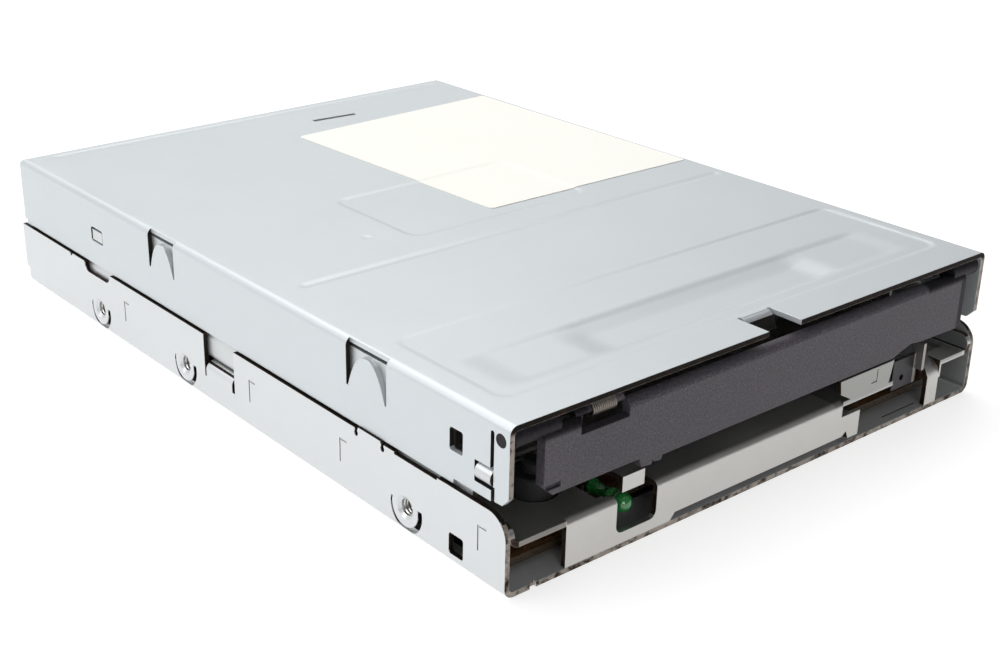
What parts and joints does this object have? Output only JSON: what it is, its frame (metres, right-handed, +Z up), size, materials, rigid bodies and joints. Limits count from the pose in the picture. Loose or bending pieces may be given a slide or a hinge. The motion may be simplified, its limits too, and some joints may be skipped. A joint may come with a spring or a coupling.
{
  "type": "internal floppy disk drive",
  "caption": "Slim internal disk drive in folded sheet steel: spring-shut door, disk holder with eject slider, spindle motor, stepped magnetic heads and rear sockets.",
  "frame": {"origin": "centre of the drive's underside, at its lowest face", "axes": "+Z up out of the top cover; -Y out of the front, where the door is; -X the drive's left side as seen from the front"},
  "size_m": [0.1016, 0.1418, 0.0248],
  "materials": {
    "pan_steel": "zinc-coated sheet, satin, dull cut edges",
    "deck_steel": "zinc-coated sheet, satin",
    "cover_steel": "zinc-coated sheet, satin, cool grey",
    "bright_steel": "bright plated steel",
    "screw_steel": "zinc-plated steel",
    "stainless": "rolled stainless sheet",
    "spring_steel": "drawn spring wire",
    "leaf_bronze": "rolled spring bronze",
    "sintered_bronze": "sintered, matt",
    "contact_gold": "thin gold plate",
    "copper_wire": "enamelled copper wire",
    "lamination": "varnished laminations",
    "magnet": "bonded ferrite",
    "board": "resin-bonded paper board",
    "motor_board": "coated steel-cored board",
    "black_plastic": "moulded, fine grain",
    "ivory_plastic": "moulded",
    "white_plastic": "moulded",
    "chip_resin": "moulded resin",
    "component_mix": "small board parts",
    "film": "thin insulating film",
    "ribbon": "amber flexible circuit",
    "led_green": "translucent dark green",
    "ferrite_head": "polished ceramic and ferrite",
    "door_plastic": "moulded, fine texture, dark purple-grey"
  },
  "bodies": {
    "frame": {"base_pan": "pan_steel", "deck_frame": "deck_steel", "top_cover": "cover_steel", "disk_posts": "screw_steel", "slider_guides": "screw_steel", "insulating_sheet": "film", "main_board": "board", "board_screws": "screw_steel", "signal_header": "black_plastic", "signal_pins": "contact_gold", "power_header": "ivory_plastic", "power_pins": "contact_gold", "controller_chips": "chip_resin", "small_components": "component_mix", "activity_led": "led_green", "led_leads": "screw_steel", "motor_plate": "motor_board", "motor_screws": "screw_steel", "spindle_bearing": "sintered_bronze", "stator_core": "lamination", "stator_coils": "copper_wire", "stepper_motor": "screw_steel", "stepper_bracket": "pan_steel", "deck_screws": "screw_steel", "screw_end_bearing": "white_plastic", "guide_rod": "bright_steel", "rod_clamps": "leaf_bronze", "head_flex_cable": "ribbon", "flex_connector": "ivory_plastic", "track_zero_sensor": "black_plastic", "index_sensor": "black_plastic", "left_switch_body": "black_plastic", "right_switch_body": "black_plastic", "slider_springs": "spring_steel"},
    "spindle": {"rotor_cup": "pan_steel", "rotor_magnet": "magnet", "spindle_shaft": "bright_steel", "hub_table": "bright_steel", "hub_magnet": "magnet", "drive_pin_spring": "leaf_bronze"},
    "drive_pin_body": {"drive_pin": "bright_steel"},
    "lead_screw_body": {"lead_screw": "bright_steel"},
    "carriage": {"head_carriage": "black_plastic", "screw_follower": "leaf_bronze", "lower_head": "ferrite_head", "arm_pin": "bright_steel", "arm_spring": "spring_steel"},
    "upper_head_arm": {"upper_arm": "stainless", "upper_head": "ferrite_head"},
    "disk_holder": {"disk_cage": "stainless", "cage_pins": "bright_steel"},
    "latch": {"latch_lever": "ivory_plastic", "latch_spring": "spring_steel"},
    "slider": {"eject_slider": "stainless"},
    "front_door": {"door": "door_plastic", "door_spring": "spring_steel"},
    "disk_in_switch": {"disk_in_plunger": "white_plastic"},
    "write_protect_switch": {"write_protect_plunger": "white_plastic"},
    "density_switch": {"density_plunger": "black_plastic"}
  },
  "joints": [
    {"name": "eject_slide", "type": "slide", "parent": "frame", "child": "slider", "axis": [0, -1, 0], "range_m": [0, 0.0055], "deforming": ["slider_springs"]},
    {"name": "cage_lift", "type": "slide", "parent": "frame", "child": "disk_holder", "axis": [0, 0, -1], "range_m": [0, 0.0026]},
    {"name": "arm_drop", "type": "hinge", "parent": "carriage", "child": "upper_head_arm", "pos_m": [0, 0.046, 0.0173], "axis": [1, 0, 0], "range_deg": [0, 8.8], "deforming": ["arm_spring"]},
    {"name": "latch_turn", "type": "hinge", "parent": "disk_holder", "child": "latch", "pos_m": [-0.034, 0, 0.0196], "axis": [0, 0, 1], "range_deg": [0, 98], "deforming": ["latch_spring"]},
    {"name": "carriage_slide", "type": "slide", "parent": "frame", "child": "carriage", "axis": [0, -1, 0], "range_m": [0, 0.0148], "deforming": ["head_flex_cable"]},
    {"name": "screw_turn", "type": "hinge", "parent": "frame", "child": "lead_screw_body", "pos_m": [0.013, 0.036, 0.0155], "axis": [0, 1, 0], "range_deg": [0, 1421]},
    {"name": "spindle_spin", "type": "hinge", "parent": "frame", "child": "spindle", "pos_m": [0, -0.024, 0.006], "axis": [0, 0, 1], "continuous": true},
    {"name": "drive_pin_press", "type": "slide", "parent": "spindle", "child": "drive_pin_body", "axis": [0, 0, -1], "range_m": [0, 0.0012], "stiffness_N_per_m": 50, "springref_m": -0.002, "deforming": ["drive_pin_spring"]},
    {"name": "door_swing", "type": "hinge", "parent": "frame", "child": "front_door", "pos_m": [0, -0.06914, 0.02234], "axis": [1, 0, 0], "range_deg": [0, 85], "stiffness_Nm_per_rad": 0.001, "springref_deg": -28.65, "deforming": ["door_spring"]},
    {"name": "disk_in_press", "type": "slide", "parent": "frame", "child": "disk_in_switch", "axis": [0, 0, -1], "range_m": [0, 0.0015], "stiffness_N_per_m": 60, "springref_m": -0.002},
    {"name": "write_protect_press", "type": "slide", "parent": "frame", "child": "write_protect_switch", "axis": [0, 0, -1], "range_m": [0, 0.0015], "stiffness_N_per_m": 60, "springref_m": -0.002},
    {"name": "density_press", "type": "slide", "parent": "frame", "child": "density_switch", "axis": [0, 0, -1], "range_m": [0, 0.0015], "stiffness_N_per_m": 60, "springref_m": -0.002}
  ],
  "couplings": [
    {"joint": "cage_lift", "follows": "eject_slide", "ratio": 0.4727},
    {"joint": "arm_drop", "follows": "eject_slide", "rad_per_m": 27.92},
    {"joint": "latch_turn", "follows": "eject_slide", "rad_per_m": 310.9},
    {"joint": "screw_turn", "follows": "carriage_slide", "rad_per_m": 1675.5}
  ]
}
